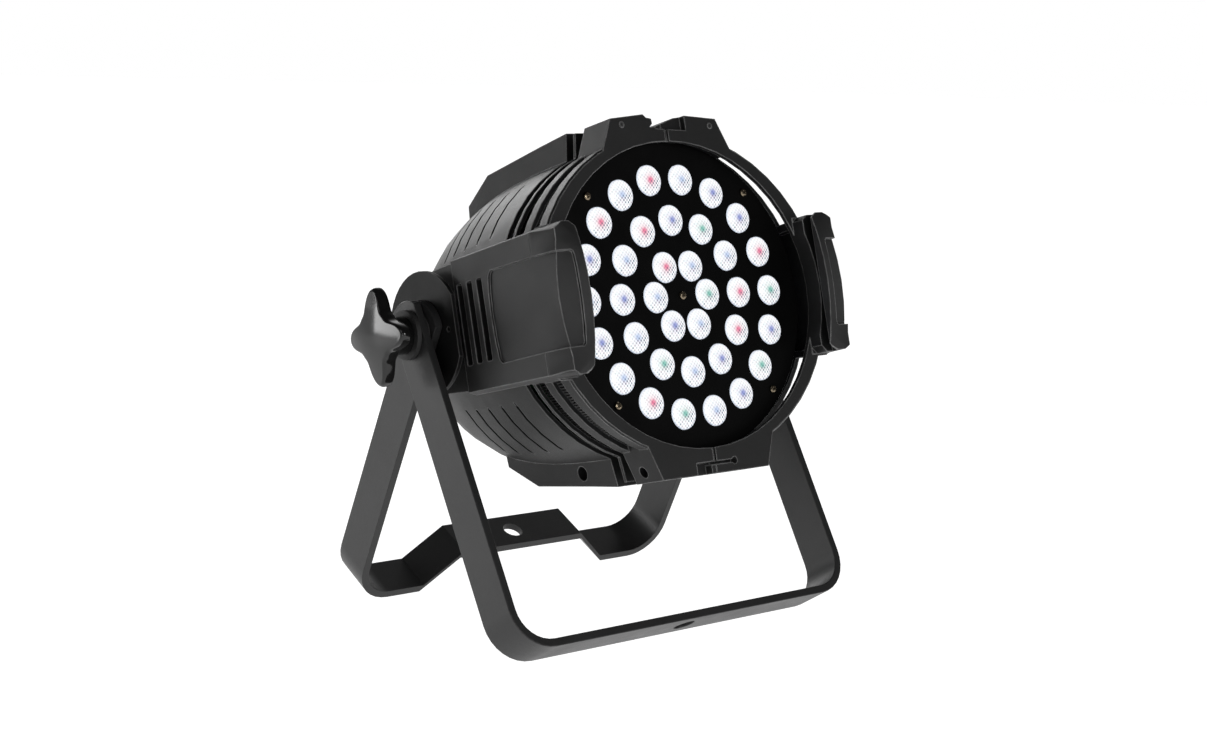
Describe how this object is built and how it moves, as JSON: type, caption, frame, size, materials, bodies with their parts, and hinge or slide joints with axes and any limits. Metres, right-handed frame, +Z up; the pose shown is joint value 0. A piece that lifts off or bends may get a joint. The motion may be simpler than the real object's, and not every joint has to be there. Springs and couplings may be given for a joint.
{
  "type": "par can light",
  "caption": "Stage par can light: die-cast clamshell head with a lens panel, tilting on folding flat-bar yokes with star knobs.",
  "frame": {"origin": "on the floor, under the middle of the standing light's bounding box", "axes": "+Z up; the light shines towards -Y, tilted up; +X is to the right when looking at the lens panel"},
  "size_m": [0.3224, 0.2524, 0.324],
  "materials": {
    "powder_coat": "semi-matte black powder coat on die-cast aluminium",
    "yoke_paint": "satin dark grey-black paint on steel bar",
    "face_black": "satin black painted sheet",
    "lens_clear": "clear bead lenses, lit white from behind",
    "knob_gloss": "glossy black moulding",
    "black_plastic": "moulded black plastic",
    "zinc_steel": "zinc plated",
    "bare_aluminium": "bare, satin",
    "circuit_board": "green solder mask",
    "display_dark": "dark clear window"
  },
  "bodies": {
    "base": {"yoke_front": "yoke_paint"},
    "rear_yoke": {"yoke_rear": "yoke_paint"},
    "knob_left_body": {"knob_left": "knob_gloss"},
    "knob_right_body": {"knob_right": "knob_gloss"},
    "fan": {"fan_rotor": "black_plastic"},
    "button_menu_body": {"button_menu": "knob_gloss"},
    "button_down_body": {"button_down": "knob_gloss"},
    "button_up_body": {"button_up": "knob_gloss"},
    "button_enter_body": {"button_enter": "knob_gloss"},
    "head": {"arm_washer_left": "black_plastic", "arm_washer_right": "black_plastic", "clamp_screw_bottom_front": "zinc_steel", "clamp_screw_bottom_rear": "zinc_steel", "clamp_screw_top_front": "zinc_steel", "clamp_screw_top_rear": "zinc_steel", "control_board": "circuit_board", "cover_screw_1": "zinc_steel", "cover_screw_2": "zinc_steel", "cover_screw_3": "zinc_steel", "cover_screw_4": "zinc_steel", "display_window": "display_dark", "dmx_socket_in": "zinc_steel", "dmx_socket_out": "zinc_steel", "driver_board": "circuit_board", "face_plate": "face_black", "face_screw_centre": "zinc_steel", "face_screw_lower_left": "zinc_steel", "face_screw_lower_right": "zinc_steel", "face_screw_upper_left": "zinc_steel", "face_screw_upper_right": "zinc_steel", "fan_frame": "black_plastic", "friction_disc_left": "yoke_paint", "friction_disc_right": "yoke_paint", "fuse_holder": "black_plastic", "heat_sink": "bare_aluminium", "housing_left": "powder_coat", "housing_right": "powder_coat", "knob_washer_left": "black_plastic", "knob_washer_right": "black_plastic", "led_board": "bare_aluminium", "lens_ring_inner": "lens_clear", "lens_ring_middle": "lens_clear", "lens_ring_outer": "lens_clear", "pivot_bolt_left": "zinc_steel", "pivot_bolt_right": "zinc_steel", "power_inlet": "black_plastic", "power_supply": "bare_aluminium", "rear_cover": "powder_coat", "safety_eyelet": "yoke_paint"}
  },
  "joints": [
    {"name": "rear_yoke_swing", "type": "hinge", "parent": "base", "child": "rear_yoke", "pos_m": [0, 0.0095, 0.1863], "axis": [1, 0, 0], "range_deg": [-56.5, 60]},
    {"name": "head_tilt", "type": "hinge", "parent": "base", "child": "head", "pos_m": [0, 0.0095, 0.1863], "axis": [1, 0, 0], "range_deg": [-120, 120]},
    {"name": "knob_left_turn", "type": "hinge", "parent": "head", "child": "knob_left_body", "pos_m": [-0.15, 0.0095, 0.1863], "axis": [-1, 0, 0], "continuous": true},
    {"name": "knob_right_turn", "type": "hinge", "parent": "head", "child": "knob_right_body", "pos_m": [0.15, 0.0095, 0.1863], "axis": [1, 0, 0], "continuous": true},
    {"name": "fan_spin", "type": "hinge", "parent": "head", "child": "fan", "pos_m": [0, -0.02416, 0.19589], "axis": [0, 0.9617, -0.274], "continuous": true},
    {"name": "button_menu_press", "type": "slide", "parent": "head", "child": "button_menu_body", "axis": [0, -0.9617, 0.274], "range_m": [0, 0.001], "stiffness_N_per_m": 300, "springref_m": -0.001},
    {"name": "button_down_press", "type": "slide", "parent": "head", "child": "button_down_body", "axis": [0, -0.9617, 0.274], "range_m": [0, 0.001], "stiffness_N_per_m": 300, "springref_m": -0.001},
    {"name": "button_up_press", "type": "slide", "parent": "head", "child": "button_up_body", "axis": [0, -0.9617, 0.274], "range_m": [0, 0.001], "stiffness_N_per_m": 300, "springref_m": -0.001},
    {"name": "button_enter_press", "type": "slide", "parent": "head", "child": "button_enter_body", "axis": [0, -0.9617, 0.274], "range_m": [0, 0.001], "stiffness_N_per_m": 300, "springref_m": -0.001}
  ]
}
